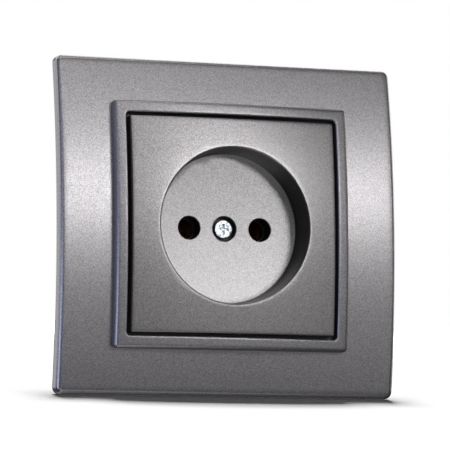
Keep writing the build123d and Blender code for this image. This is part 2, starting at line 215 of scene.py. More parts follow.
def add_lacquer(name, dark, light):
    """Pearl lacquer between these two colours."""
    made, tree = new_material(name)
    place = add_node(tree, "ShaderNodeTexCoord").outputs["Object"]
    flakes = add_node(
        tree, "ShaderNodeTexVoronoi", {"Vector": place, "Scale": 1 / (flake_size * mm)}
    ).outputs["Color"]
    tilt = add_node(
        tree, "ShaderNodeVectorMath", {0: flakes, 1: flake_middle}, operation="SUBTRACT"
    ).outputs[0]
    tilt = add_node(
        tree, "ShaderNodeVectorMath", {0: tilt, "Scale": flake_tilt}, operation="SCALE"
    ).outputs[0]
    surface = add_node(tree, "ShaderNodeNewGeometry").outputs["Normal"]
    leaning = add_node(
        tree, "ShaderNodeVectorMath", {0: surface, 1: tilt}, operation="ADD"
    ).outputs[0]
    leaning = add_node(tree, "ShaderNodeVectorMath", {0: leaning}, operation="NORMALIZE").outputs[0]
    shade = add_node(tree, "ShaderNodeSeparateColor", {"Color": flakes}).outputs["Red"]
    colour = add_node(
        tree, "ShaderNodeMix", {0: shade, 6: linear(dark), 7: linear(light)}, data_type="RGBA"
    )
    coat = add_node(
        tree,
        "ShaderNodeBsdfPrincipled",
        {
            "Base Color": colour.outputs[2],
            "Metallic": 0.9,
            "Roughness": 0.32,
            "Coat Weight": 0.2,
            "Coat Roughness": 0.25,
            "Normal": leaning,
        },
    )
    add_node(tree, "ShaderNodeOutputMaterial", {"Surface": coat.outputs["BSDF"]})
    return made


pearl_lacquer = add_lacquer("pearl_lacquer_on_abs", lacquer_dark, lacquer_light)
well_shade_lacquer = add_lacquer("pearl_lacquer_darkened_as_well_shade", well_shade_dark, well_shade_light)

# Bare ABS on the backs and insides, where the spray doesn't reach: anthracite, with the fine satin
# of a spark-eroded mould and a faint flow of the pigment. It is also laid in the depths of the
# cover's holes and on the ring's ledge and opening walls, as painted shade. The real grain is about
# 0.05 mm; it is drawn 0.3 mm coarse.
abs_dark = "2b2a2b"
abs_light = "343334"
abs_grain = 0.3
abs_flow = 9.0
abs_relief = 0.03
bare_abs_and_depth_shade, tree = new_material("moulded_anthracite_abs_and_depth_shade")
place = add_node(tree, "ShaderNodeTexCoord").outputs["Object"]
grain = add_node(
    tree, "ShaderNodeTexNoise", {"Vector": place, "Scale": 1 / (abs_grain * mm), "Detail": 3.0}
).outputs["Fac"]
flow = add_node(
    tree, "ShaderNodeTexNoise", {"Vector": place, "Scale": 1 / (abs_flow * mm), "Detail": 2.0}
).outputs["Fac"]
colour = add_node(
    tree, "ShaderNodeMix", {0: flow, 6: linear(abs_dark), 7: linear(abs_light)}, data_type="RGBA"
)
bump = add_node(
    tree, "ShaderNodeBump", {"Height": grain, "Strength": 0.3, "Distance": abs_relief * mm}
)
plastic = add_node(
    tree,
    "ShaderNodeBsdfPrincipled",
    {"Base Color": colour.outputs[2], "Roughness": 0.45, "Normal": bump.outputs["Normal"]},
)
add_node(tree, "ShaderNodeOutputMaterial", {"Surface": plastic.outputs["BSDF"]})

verts, faces = [], []
face = crowned(frame_crest)
inside = crowned(frame_crest - frame_skin)
edge_back = crowned(frame_crest - frame_edge)
loops = [
    laid(inset_outline(frame_width, frame_height, frame_corner, inset), face, depth)
    for inset, depth in rounding(frame_fillet)
]
frame_rim = inset_outline(frame_width, frame_height, frame_corner, frame_fillet)
hole = outline(aperture, aperture, aperture_corner)
loops += [
    laid(between(frame_rim, hole, step / frame_bands), face) for step in range(1, frame_bands + 1)
]
rib_out, rib_in, hollow, frame_outline = (
    outline(frame_width - 2 * inset, frame_height - 2 * inset, frame_corner)
    for inset in (seat_inset, seat_inset + seat_wall, edge_wall, 0.0)
)
loops += [laid(hole, inside), laid(rib_in, inside), laid(rib_in, flat(0)), laid(rib_out, flat(0))]
loops += [laid(rib_out, inside), laid(hollow, inside), laid(hollow, edge_back)]
loops += [laid(frame_outline, edge_back)]
add_loft(verts, faces, loops, closed=True)
gusset_back = crowned(frame_crest - frame_skin - gusset_height)
gusset_front = crowned(frame_crest - frame_skin + gusset_root)
for pitch in (-gusset_pitch, 0, gusset_pitch):
    across = (pitch - gusset_wall / 2, pitch + gusset_wall / 2)
    for side in (-1, 1):
        along_x, along_z = (
            (
                side * (size / 2 - seat_inset - gusset_overlap),
                side * (size / 2 - edge_wall + gusset_overlap),
            )
            for size in (frame_width, frame_height)
        )
        add_block(verts, faces, along_x, across, gusset_back, gusset_front)
        add_block(verts, faces, across, along_z, gusset_back, gusset_front)


def frame_bare(centre, normal):
    """The frame's underside, hollow and aperture stay bare."""
    x, z = abs(centre.x), abs(centre.z)
    in_aperture = max(x, z) - aperture / 2 < skin_margin
    off_edge = x < frame_width / 2 - skin_margin and z < frame_height / 2 - skin_margin
    hidden = off_edge and centre.y > inside(0, centre.z) - skin_margin
    return normal.y > side_slope or in_aperture or hidden


frame_shell = make_piece(
    "frame_shell", verts, faces, pearl_lacquer, others=[bare_abs_and_depth_shade], pick=frame_bare
)
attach(frame_shell, "socket_body")
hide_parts("outer_frame")

# Trim ring: a square ABS surround, lacquered like the frame. Its foot lies over the frame's face,
# its sleeve snaps into the frame by two tabs, and the cover drops on a ledge inside it.
ring_size = 62.2
ring_corner = 0.9
ring_fillet = 0.75
ring_crest = 12.5
ring_bands = 4
ring_opening = 56.2
ring_opening_corner = 1.0
ring_opening_fillet = 0.45
sleeve_size = 58.8
sleeve_corner = 2.3
sleeve_back = 5.0
ledge_top = 6.5
ledge_opening = 52.0
seam = 0.12
tab_length = 10.0
tab_front = 5.83
tab_out = 30.0
tab_overlap = 0.3  # how far a tab reaches into the sleeve


def domed(crest):
    """The surface domed both ways about the frame's own centre, with this crest."""
    middle = face_radius - frame_crest
    return lambda x, z: middle - sqrt((middle + crest) ** 2 - x * x - z * z)


verts, faces = [], []
face = domed(ring_crest)
foot = crowned(frame_crest + seam)
loops = [
    laid(inset_outline(ring_size, ring_size, ring_corner, inset), face, depth)
    for inset, depth in rounding(ring_fillet)
]
ring_rim = inset_outline(ring_size, ring_size, ring_corner, ring_fillet)
opening = (ring_opening, ring_opening, ring_opening_corner)
opening_rim = inset_outline(*opening, -ring_opening_fillet)
loops += [
    laid(between(ring_rim, opening_rim, step / ring_bands), face)
    for step in range(1, ring_bands + 1)
]
for inset, depth in reversed(rounding(ring_opening_fillet)[:-1]):
    loops.append(laid(inset_outline(*opening, -inset), face, depth))
ledge = outline(ledge_opening, ledge_opening, ring_opening_corner)
sleeve = outline(sleeve_size, sleeve_size, sleeve_corner)
loops += [laid(outline(*opening), flat(ledge_top)), laid(ledge, flat(ledge_top))]
loops += [laid(ledge, flat(sleeve_back)), laid(sleeve, flat(sleeve_back)), laid(sleeve, foot)]
loops += [laid(outline(ring_size, ring_size, ring_corner), foot)]
add_loft(verts, faces, loops, closed=True)
for side in (-1, 1):
    along = (side * (sleeve_size / 2 - tab_overlap), side * tab_out)
    across = (-tab_length / 2, tab_length / 2)
    add_block(verts, faces, along, across, flat(sleeve_back), flat(tab_front))


def ring_bare_and_shaded(centre, normal):
    """The ring's back and sleeve stay bare; its ledge and opening walls are painted shade."""
    in_opening = max(abs(centre.x), abs(centre.z)) < ring_opening / 2 + skin_margin
    behind = normal.y > side_slope or centre.y > -ledge_top - skin_margin
    return behind or (in_opening and abs(normal.y) < side_slope)


ring_shell = make_piece(
    "ring_shell", verts, faces, pearl_lacquer, others=[bare_abs_and_depth_shade], pick=ring_bare_and_shaded
)
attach(ring_shell, "socket_body")
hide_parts("trim_ring")

# Cover: a square ABS cap, domed like the ring and lacquered with it. A tapered round well takes the
# plug; its floor has two pin holes with collars behind and a counterbore for the centre screw. The
# floor is drawn a little hollow, because its brightness rises more than a flat floor's would.
cover_size = 54.5
cover_corner = 0.6
cover_fillet = 0.4
cover_crest = 12.4
cover_skin = 2.0
cover_wall = 1.8
cover_bands = 14
under_bands = 6
well_radius = 19.9
well_wall = 1.4
wall_rings = (1, 3, 5, 7)  # heights above the floor
rim_fillet = 0.45
rim_steps = 6
floor_radius = 19.15
floor_fillet = 0.2
floor_front = 3.5
floor_back = 1.5
floor_sink = 0.5
floor_pitch = 1.6  # between the points inside the floor's mesh
holes_open = 4  # the kind of triangulation that leaves the holes out
hole_share = 0.99  # no triangle has its middle within this share of a hole
closeness = 1e-5
pin_spacing = 19.0
pin_hole_radius = 2.95
hole_edge = 0.15
hole_land = 0.05  # flat ring round a rounded edge, where it joins the floor
fine_steps = 4
bore_top = 2.6  # below the hollow of the floor, so that a bore is level from here on
collar_radius = 3.95
collar_end = -1.3
screw_well_radius = 3.2
screw_seat = 0.7
screw_hole_radius = 1.65
screw_boss_radius = 4.0
screw_boss_end = -0.6
circle_steps = 48
hole_reach = 0.3  # how far round a hole a face may belong to it
lacquered_depth = 0.12  # how deep the lacquer goes into a hole; deeper, bare ABS is painted shade
lacquered_end = 2.8  # nothing further back is lacquered; bare ABS there is partly painted shade
skirt_margin = 0.1
skirt_reach = 0.8  # how far outside the well the inside of the skirt begins


def turned(points, radius):
    """Points of an outline brought to a circle, each in its own direction."""
    return [(x * radius / sqrt(x * x + z * z), z * radius / sqrt(x * x + z * z)) for x, z in points]


def circle(x, z, radius, count=circle_steps):
    """Points round a circle."""
    angles = [2 * pi * i / count for i in range(count)]
    return [(x + radius * cos(angle), z + radius * sin(angle)) for angle in angles]


def dished(height):
    """The well's floor, sunk a little at its middle, at this height at its edge."""
    return lambda x, z: -height + floor_sink * max(0.0, 1 - (x * x + z * z) / floor_radius**2)


def add_plate(verts, faces, surface, edge, holes):
    """Adds a round face on a surface, from its edge and its holes, each a place and a radius."""
    rings = [edge] + [circle(x, 0, radius) for x, radius in holes]
    points = [Vector(point) for ring in rings for point in ring]
    edges = []
    for ring in rings:
        start = len(edges)
        edges += [(start + i, start + (i + 1) % len(ring)) for i in range(len(ring))]
    steps = int(floor_radius / floor_pitch)
    for i in range(-steps, steps + 1):
        for j in range(-steps, steps + 1):
            place = Vector((i * floor_pitch, j * floor_pitch))
            clear = all((place - point).length > floor_pitch / 2 for point in points)
            if clear and place.length < floor_radius:
                points.append(place)
    made = delaunay_2d_cdt(points, edges, [], holes_open, closeness)
    spots, triangles = made[0], made[2]
    first = len(verts)
    verts.extend(laid([tuple(spot) for spot in spots], surface))
    for triangle in triangles:
        middle = sum((spots[i] for i in triangle), Vector((0, 0))) / 3
        if all((middle - Vector((x, 0))).length > radius * hole_share for x, radius in holes):
            faces.append(tuple(first + i for i in triangle))


def add_bore(verts, faces, x, radius, rest):
    """Adds a bore through the floor: its rounded mouth, then the rest of its profile."""
    mouth = [(radius + hole_edge + hole_land, 0)]
    mouth += [(radius + inset, depth) for inset, depth in reversed(rounding(hole_edge, fine_steps))]
    loops = [laid(circle(x, 0, wide), dished(floor_front - depth)) for wide, depth in mouth]
    loops += [laid(circle(x, 0, wide), flat(height)) for wide, height in rest]
    add_loft(verts, faces, loops)


verts, faces = [], []
face = domed(cover_crest)
under = domed(cover_crest - cover_skin)
square = outline(cover_size, cover_size, cover_corner)
slope = (well_radius - floor_radius) / (cover_crest - floor_front)
rim_radius = floor_radius + slope * (-face(well_radius, 0) - floor_front)
wall_up = Vector((slope, 1)).normalized()
outward = Vector((wall_up.y, -wall_up.x))
rim_corner = Vector((rim_radius, -face(rim_radius, 0)))
rim_centre = rim_corner + rim_fillet * (outward - wall_up)
profile = []
for inset, depth in reversed(rounding(floor_fillet, fine_steps)):
    profile.append((floor_radius - inset, floor_front + depth))
profile += [(floor_radius + slope * rise, floor_front + rise) for rise in wall_rings]
for step in range(rim_steps + 1):
    angle = pi / 2 * step / rim_steps
    point = rim_centre + rim_fillet * (wall_up * sin(angle) - outward * cos(angle))
    profile.append((point.x, point.y))
floor_edge = turned(square, floor_radius - floor_fillet - hole_land)
loops = [laid(floor_edge, dished(floor_front))]
loops += [laid(turned(square, radius), flat(height)) for radius, height in profile]
well_rim = turned(square, profile[-1][0])
cover_rim = inset_outline(cover_size, cover_size, cover_corner, cover_fillet)
loops += [
    laid(between(well_rim, cover_rim, step / cover_bands), face)
    for step in range(1, cover_bands + 1)
]
for inset, depth in reversed(rounding(cover_fillet)[:-1]):
    loops.append(laid(inset_outline(cover_size, cover_size, cover_corner, inset), face, depth))
skirt = outline(cover_size - 2 * cover_wall, cover_size - 2 * cover_wall, cover_corner)
loops += [laid(square, flat(ledge_top)), laid(skirt, flat(ledge_top))]
cup = turned(square, well_radius + well_wall)
loops += [laid(between(skirt, cup, step / under_bands), under) for step in range(under_bands + 1)]
cup_end = turned(square, floor_radius + well_wall)
loops += [laid(cup_end, flat(floor_back))]
add_loft(verts, faces, loops)
pins = [-pin_spacing / 2, pin_spacing / 2]
front_holes = [(x, pin_hole_radius + hole_edge + hole_land) for x in pins]
front_holes += [(0, screw_well_radius + hole_edge + hole_land)]
back_holes = [(x, collar_radius) for x in pins] + [(0, screw_boss_radius)]
add_plate(verts, faces, dished(floor_front), floor_edge, front_holes)
add_plate(verts, faces, flat(floor_back), cup_end, back_holes)
for x in pins:
    collar = [(pin_hole_radius, bore_top), (pin_hole_radius, collar_end)]
    collar += [(collar_radius, collar_end), (collar_radius, floor_back)]
    add_bore(verts, faces, x, pin_hole_radius, collar)
boss = [(screw_well_radius, bore_top), (screw_well_radius, screw_seat)]
boss += [(screw_hole_radius, screw_seat), (screw_hole_radius, screw_boss_end)]
boss += [(screw_boss_radius, screw_boss_end), (screw_boss_radius, floor_back)]
add_bore(verts, faces, 0, screw_well_radius, boss)


def cover_coat_and_shade(centre, normal):
    """The cover's inside stays bare; its hole depths and well floor get painted shade."""
    level = Vector((centre.x, centre.z))
    in_hole = level.length < screw_well_radius + hole_reach or any(
        (level - Vector((x, 0))).length < pin_hole_radius + hole_reach for x in pins
    )
    deep = centre.y > -floor_front + floor_sink + lacquered_depth
    off_side = max(abs(centre.x), abs(centre.z)) < cover_size / 2 - skirt_margin
    in_skirt = off_side and level.length > well_radius + skirt_reach
    behind = normal.y > side_slope or centre.y > -lacquered_end
    if behind or (in_hole and deep) or (in_skirt and abs(normal.y) < side_slope):
        return 1
    return 2 if level.length < floor_radius + skirt_margin else 0


cover_shell = make_piece(
    "cover_shell", verts, faces, pearl_lacquer, others=[bare_abs_and_depth_shade, well_shade_lacquer], pick=cover_coat_and_shade
)
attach(cover_shell, "socket_body")
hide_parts("socket_cover")

# Centre screw: a steel cheese head with a cross pressed into it, plated with blue-white zinc.
# It holds the cover and the ring down on the mounting plate and turns in the square nut.
head_radius = 2.35
head_height = 1.6
head_round = 0.25
head_round_steps = 8
head_steps = 64
drive_width = 0.8
drive_span = 3.2
drive_depth = 0.9
drive_taper = 0.72  # the cross at its bottom, as a share of its mouth
cutter_overlap = 0.5  # how far a cutter stands out of the head
thread_radius = 1.5
thread_core = 1.22
thread_pitch = 0.5
rows_per_turn = 4  # root, flank, crest and flank
thread_steps = 24
screw_length = 12.0


def add_turned(verts, faces, x, z, profile, count=circle_steps):
    """Adds a piece turned about a level axis from its radii and heights, closed at both ends."""
    first = len(verts)
    loops = [laid(circle(x, z, radius, count), flat(height)) for radius, height in profile]
    add_loft(verts, faces, loops)
    faces.append(tuple(range(first, first + count)))
    faces.append(tuple(range(len(verts) - count, len(verts))))


def add_thread(verts, faces, x, z, top, bottom, outer=thread_radius):
    """Adds a threaded shank between two heights, cut off level and closed at both ends."""
    rows = rows_per_turn * (int((top - bottom) / thread_pitch) + 2)
    depth = thread_radius - thread_core
    first = len(verts)
    for column in range(thread_steps + 1):
        share = column / thread_steps
        angle = 2 * pi * share
        for row in range(rows + 1):
            height = top + thread_pitch - thread_pitch * (row / rows_per_turn + share)
            height = min(top, max(bottom, height))
            turn = (top - height) / thread_pitch + 1 - share
            radius = outer - depth * abs(1 - 2 * (turn % 1.0))
            verts.append((x + radius * cos(angle), -height, z + radius * sin(angle)))
    starts = [first + column * (rows + 1) for column in range(thread_steps)]
    for start in starts:
        for a in range(start, start + rows):
            faces.append((a, a + 1, a + rows + 2, a + rows + 1))
    faces.extend([tuple(starts), tuple(start + rows for start in starts)])


def cut(piece, cutter):
    """Cuts one piece out of another and removes the cutter."""
    change = piece.modifiers.new("cut", "BOOLEAN")
    change.operation = "DIFFERENCE"
    change.solver = "EXACT"
    change.object = cutter
    graph = bpy.context.evaluated_depsgraph_get()
    data = bpy.data.meshes.new_from_object(piece.evaluated_get(graph))
    piece.modifiers.clear()
    piece.data = data
    bpy.data.objects.remove(cutter)
    data.shade_smooth()
    data.set_sharp_from_angle(angle=radians(crease))


def dress(names, material):
    """Gives pieces that keep the shape of the CAD the material they are made of."""
    for name in names:
        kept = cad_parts[name].data.materials
        kept.clear()
        kept.append(material)


# Blue-white zinc plate on steel wire: bright, and mottled blue-grey where the passivation is thick.
# The real mottling is about 0.1 mm; it is drawn 0.7 mm coarse so that it shows on the screw's head.
zinc_bright = "f0f4f7"
zinc_dull = "7f8d9a"
zinc_mottle = 0.7
zinc_relief = 0.06
zinc_screw, tree = new_material("blue_white_zinc_on_steel_screws")
place = add_node(tree, "ShaderNodeTexCoord").outputs["Object"]
grain = add_node(
    tree, "ShaderNodeTexNoise", {"Vector": place, "Scale": 1 / (zinc_mottle * mm), "Detail": 4.0}
).outputs["Fac"]
mottle = add_node(
    tree, "ShaderNodeMapRange", {"Value": grain, "From Min": 0.38, "From Max": 0.52}
).outputs["Result"]
colour = add_node(
    tree,
    "ShaderNodeMix",
    {0: mottle, 6: linear(zinc_dull), 7: linear(zinc_bright)},
    data_type="RGBA",
)
dulling = add_node(tree, "ShaderNodeMapRange", {"Value": grain, "To Min": 0.3, "To Max": 0.5})
bump = add_node(
    tree, "ShaderNodeBump", {"Height": grain, "Strength": 0.5, "Distance": zinc_relief * mm}
)
metal = add_node(
    tree,
    "ShaderNodeBsdfPrincipled",
    {
        "Base Color": colour.outputs[2],
        "Metallic": 1.0,
        "Roughness": dulling.outputs["Result"],
        "Normal": bump.outputs["Normal"],
    },
)
add_node(tree, "ShaderNodeOutputMaterial", {"Surface": metal.outputs["BSDF"]})

verts, faces = [], []
head_top = screw_seat + head_height
profile = [(head_radius, screw_seat)]
for inset, depth in rounding(head_round, head_round_steps):
    profile.append((head_radius - inset, head_top - depth))
add_turned(verts, faces, 0, 0, profile, head_steps)
screw_head = make_piece("centre_screw_head", verts, faces, zinc_screw)
verts, faces = [], []
arm, half = drive_span / 2, drive_width / 2
cross = [(arm, half), (half, half), (half, arm), (-half, arm), (-half, half), (-arm, half)]
cross += [(-x, -z) for x, z in cross]
cross_end = [(x * drive_taper, z * drive_taper) for x, z in cross]
cross_ends = [
    laid(cross, flat(head_top + cutter_overlap)),
    laid(cross_end, flat(head_top - drive_depth)),
]
add_loft(verts, faces, cross_ends)
faces += [tuple(range(len(cross))), tuple(range(len(cross), 2 * len(cross)))]
cut(screw_head, make_piece("cross_punch", verts, faces, zinc_screw))
verts, faces = [], []
add_thread(verts, faces, 0, 0, screw_seat, screw_seat - screw_length)
screw_shank = make_piece("centre_screw_shank", verts, faces, zinc_screw)
for piece in (screw_head, screw_shank):
    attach(piece, "socket_body")
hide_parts("cover_screw")
dress(["cover_nut"], zinc_screw)

# Claw screws: long M3 screws with slotted cheese heads, turned from wire and plated like the centre
# screw. Each stands through the plate beside the well and carries its claw.
claw_head_radius = 2.6
claw_head_height = 2.0
claw_head_round = 0.5
claw_screw_seat = 1.1
claw_screw_length = 21.0
claw_screw_offset = 7.0
claw_x = 23.061
slotted_round_steps = 5


def make_slotted_screw(name, x, z, seat, head, shank, level=True):
    """A screw with a head (radius, height, rounding) and a shank (radius, length). It is level, or
    else upright, and z is then how far behind the wall plane its axis stands."""
    radius, height, edge = head
    top = seat + height
    verts, faces = [], []
    profile = [(radius, seat)]
    for inset, depth in rounding(edge, slotted_round_steps):
        profile.append((radius - inset, top - depth))
    add_turned(verts, faces, x, z, profile)
    slot_verts, slot_faces = [], []
    reach = radius + 2 * cutter_overlap
    across = (x - reach, x + reach)
    along = (z - drive_width / 2, z + drive_width / 2)
    slot_ends = (flat(top - drive_depth), flat(top + cutter_overlap))
    add_block(slot_verts, slot_faces, across, along, *slot_ends)
    shank_verts, shank_faces = [], []
    add_thread(shank_verts, shank_faces, x, z, seat, seat - shank[1], shank[0])
    if not level:
        verts, slot_verts, shank_verts = (
            [(x, z, -y) for x, y, z in points] for points in (verts, slot_verts, shank_verts)
        )
    screw_top = make_piece(name + "_head", verts, faces, zinc_screw)
    cut(screw_top, make_piece("slot_cutter", slot_verts, slot_faces, zinc_screw))
    return screw_top, make_piece(name + "_shank", shank_verts, shank_faces, zinc_screw)


for side, hand in ((-1, "left"), (1, "right")):
    made = make_slotted_screw(
        hand + "_claw_screw",
        side * claw_x,
        -side * claw_screw_offset,
        claw_screw_seat,
        (claw_head_radius, claw_head_height, claw_head_round),
        (thread_radius, claw_screw_length),
    )
    for piece in made:
        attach(piece, hand + "_spreader")
    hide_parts(hand + "_claw_screw")

# Terminal screws: short M3.5 screws with slotted heads, upright above each brass block at the
# bottom of a shaft in the base. Their tips press the wire. Both are one node of the frame.
terminal_place = 13.2
terminal_seat = 19.95
terminal_thread = 1.7
terminal_reach = 2.35
terminal_head_radius = 2.6
terminal_head_height = 2.0
terminal_head_round = 0.2
for side, hand in ((-1, "left"), (1, "right")):
    made = make_slotted_screw(
        hand + "_terminal_screw",
        side * pin_spacing / 2,
        terminal_place,
        terminal_seat,
        (terminal_head_radius, terminal_head_height, terminal_head_round),
        (terminal_thread, terminal_reach),
        level=False,
    )
    for piece in made:
        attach(piece, "socket_body")
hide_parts("terminal_screws")

# Mounting plate and claws: stamped and bent from rolled sheet steel, then plated with bright zinc,
# which shows rolling lines and a slightly cloudy, cold grey. The real lines are about 0.05 mm
# apart; they are drawn up to 0.7 mm apart across the sheet and 17 mm long.
plate_bright = "d5d9dd"
plate_dull = "a7adb3"
roll_line = (50 / 3, 2 / 3, 1 / 3)
roll_relief = 0.03
plate_cloud = 6.0
zinc_sheet, tree = new_material("bright_zinc_on_rolled_sheet_steel")
place = add_node(tree, "ShaderNodeTexCoord").outputs["Object"]
stretched = add_node(
    tree, "ShaderNodeMapping", {"Vector": place, "Scale": [1 / (size * mm) for size in roll_line]}
).outputs["Vector"]
lines = add_node(
    tree, "ShaderNodeTexNoise", {"Vector": stretched, "Scale": 1.0, "Detail": 5.0}
).outputs["Fac"]
cloud = add_node(
    tree, "ShaderNodeTexNoise", {"Vector": place, "Scale": 1 / (plate_cloud * mm), "Detail": 3.0}
).outputs["Fac"]
colour = add_node(
    tree,
    "ShaderNodeMix",
    {0: cloud, 6: linear(plate_dull), 7: linear(plate_bright)},
    data_type="RGBA",
)
dulling = add_node(tree, "ShaderNodeMapRange", {"Value": lines, "To Min": 0.24, "To Max": 0.42})
bump = add_node(
    tree, "ShaderNodeBump", {"Height": lines, "Strength": 0.12, "Distance": roll_relief * mm}
)
metal = add_node(
    tree,
    "ShaderNodeBsdfPrincipled",
    {
        "Base Color": colour.outputs[2],
        "Metallic": 1.0,
        "Roughness": dulling.outputs["Result"],
        "Normal": bump.outputs["Normal"],
    },
)
add_node(tree, "ShaderNodeOutputMaterial", {"Surface": metal.outputs["BSDF"]})
dress(["mounting_plate", "left_claw", "right_claw"], zinc_sheet)

# Base rivets: two tubular steel rivets above and below the well, plated like the plate. The head in
# front is domed, and the end behind is rolled over and leaves a dimple. Both are one node of the
# frame. The rolled end is given by its radius and how far it stands out at each place.
rivet_radius = 1.5
rivet_head_radius = 2.3
rivet_head_height = 0.9
rivet_head_steps = 8
rivet_height = 23.3
rivet_front = 1.0
rivet_back = -21.5
rolled_end = [(2.25, 0.4), (2.0, 0.75), (1.6, 0.9), (1.2, 0.85), (0.9, 0.6), (0.8, 0.1)]
for height, hand in ((-rivet_height, "lower"), (rivet_height, "upper")):
    verts, faces = [], []
    profile = []
    for step in range(1, rivet_head_steps + 1):
        angle = pi / 2 * step / rivet_head_steps
        rise = rivet_head_height * cos(angle)
        profile.append((rivet_head_radius * sin(angle), rivet_front + rise))
    profile += [(rivet_radius, rivet_front), (rivet_radius, rivet_back)]
    profile += [(rivet_head_radius, rivet_back)]
    profile += [(radius, rivet_back - depth) for radius, depth in rolled_end]
    add_turned(verts, faces, 0, height, profile)
    rivet = make_piece(hand + "_rivet", verts, faces, zinc_sheet)
    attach(rivet, "socket_body")
    if hand == "upper":
        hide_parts("base_rivets")

# Contact base and rear cover: black phenolic compound, pressed in a hot mould. It is hard and
# slightly glossy, with a faint brown cloudiness from its wood-flour filler. The real grain is about
# 0.1 mm; it is drawn 0.35 mm coarse.
resin_light = "262321"
resin_dark = "171616"
resin_cloud = 3.0
resin_grain = 0.35
resin_relief = 0.04
phenolic_resin, tree = new_material("moulded_black_phenolic")
place = add_node(tree, "ShaderNodeTexCoord").outputs["Object"]
cloud = add_node(
    tree, "ShaderNodeTexNoise", {"Vector": place, "Scale": 1 / (resin_cloud * mm), "Detail": 5.0}
).outputs["Fac"]
grain = add_node(
    tree, "ShaderNodeTexNoise", {"Vector": place, "Scale": 1 / (resin_grain * mm), "Detail": 3.0}
).outputs["Fac"]
colour = add_node(
    tree,
    "ShaderNodeMix",
    {0: cloud, 6: linear(resin_dark), 7: linear(resin_light)},
    data_type="RGBA",
)
bump = add_node(
    tree, "ShaderNodeBump", {"Height": grain, "Strength": 0.15, "Distance": resin_relief * mm}
)
plastic = add_node(
    tree,
    "ShaderNodeBsdfPrincipled",
    {
        "Base Color": colour.outputs[2],
        "Roughness": 0.42,
        "IOR": 1.55,
        "Normal": bump.outputs["Normal"],
    },
)
add_node(tree, "ShaderNodeOutputMaterial", {"Surface": plastic.outputs["BSDF"]})
dress(["contact_base", "rear_cover"], phenolic_resin)

# Contacts and terminal blocks: rolled and drawn brass, cut and bent, left bare. It has fine drawing
# lines and slightly darker patches where it has been handled. The real lines are about 0.05 mm
# apart; they are drawn 0.4 mm apart and 12.5 mm long.
brass_bright = "d2b06c"
brass_dark = "a38449"
draw_line = (0.4, 12.5, 0.4)
brass_cloud = 2.0
bare_brass, tree = new_material("bare_rolled_brass")
place = add_node(tree, "ShaderNodeTexCoord").outputs["Object"]
stretched = add_node(
    tree, "ShaderNodeMapping", {"Vector": place, "Scale": [1 / (size * mm) for size in draw_line]}
).outputs["Vector"]
lines = add_node(
    tree, "ShaderNodeTexNoise", {"Vector": stretched, "Scale": 1.0, "Detail": 4.0}
).outputs["Fac"]
cloud = add_node(
    tree, "ShaderNodeTexNoise", {"Vector": place, "Scale": 1 / (brass_cloud * mm), "Detail": 4.0}
).outputs["Fac"]
colour = add_node(
    tree,
    "ShaderNodeMix",
    {0: cloud, 6: linear(brass_dark), 7: linear(brass_bright)},
    data_type="RGBA",
)
dulling = add_node(tree, "ShaderNodeMapRange", {"Value": lines, "To Min": 0.2, "To Max": 0.38})
metal = add_node(
    tree,
    "ShaderNodeBsdfPrincipled",
    {
        "Base Color": colour.outputs[2],
        "Metallic": 1.0,
        "Roughness": dulling.outputs["Result"],
    },
)
add_node(tree, "ShaderNodeOutputMaterial", {"Surface": metal.outputs["BSDF"]})
dress(["left_contact", "right_contact", "left_terminal_block", "right_terminal_block"], bare_brass)

# Contact clips: strips of spring steel bent round each pair of jaws, which they press together. The
# oxide of their tempering leaves them dark blue, with paler patches where it is thinner.
clip_blue = "39424f"
clip_pale = "646d78"
oxide_patch = 1.5
blued_steel, tree = new_material("blued_spring_steel")
place = add_node(tree, "ShaderNodeTexCoord").outputs["Object"]
patches = add_node(
    tree, "ShaderNodeTexNoise", {"Vector": place, "Scale": 1 / (oxide_patch * mm), "Detail": 4.0}
).outputs["Fac"]
colour = add_node(
    tree,
    "ShaderNodeMix",
    {0: patches, 6: linear(clip_blue), 7: linear(clip_pale)},
    data_type="RGBA",
)
dulling = add_node(tree, "ShaderNodeMapRange", {"Value": patches, "To Min": 0.26, "To Max": 0.4})
metal = add_node(
    tree,
    "ShaderNodeBsdfPrincipled",
    {
        "Base Color": colour.outputs[2],
        "Metallic": 1.0,
        "Roughness": dulling.outputs["Result"],
    },
)
add_node(tree, "ShaderNodeOutputMaterial", {"Surface": metal.outputs["BSDF"]})
dress(["left_contact_clip", "right_contact_clip"], blued_steel)

# Floor: white paper that leans the way the socket leans back on it, so that the low camera looks
# along it. It only catches the socket's shadow, fades out round it, and is left out where it is
# seen from below. Its own lamp overhead lights nothing else, and the other lamps leave it out.
paper_lean = 13.2
paper_line = (-1.2, -42.5)  # y and z of the socket's lower edge, where it stands
paper_front = 260.0
paper_rear = 130.0
paper_side = 240.0
paper_light = "ffffff"
paper_dark = "f7f7f7"
paper_tooth = 0.5
fade_from = 90.0  # distances from the middle of the socket
fade_to = 125.0
verts, faces = [], []
for along in (-paper_front, paper_rear):
    y = paper_line[0] + along * cos(radians(paper_lean))
    z = paper_line[1] + along * sin(radians(paper_lean))
    verts += [(-paper_side, y, z), (paper_side, y, z)]
faces.append((0, 1, 3, 2))
white_paper, tree = new_material("white_paper_floor")
place = add_node(tree, "ShaderNodeTexCoord").outputs["Object"]
tooth = add_node(
    tree, "ShaderNodeTexNoise", {"Vector": place, "Scale": 1 / (paper_tooth * mm), "Detail": 3.0}
).outputs["Fac"]
colour = add_node(
    tree,
    "ShaderNodeMix",
    {0: tooth, 6: linear(paper_dark), 7: linear(paper_light)},
    data_type="RGBA",
)
matt = add_node(tree, "ShaderNodeBsdfDiffuse", {"Color": colour.outputs[2]}).outputs["BSDF"]
reach = add_node(tree, "ShaderNodeVectorMath", {0: place}, operation="LENGTH").outputs["Value"]
fade = add_node(
    tree,
    "ShaderNodeMapRange",
    {"Value": reach, "From Min": fade_from * mm, "From Max": fade_to * mm},
).outputs["Result"]
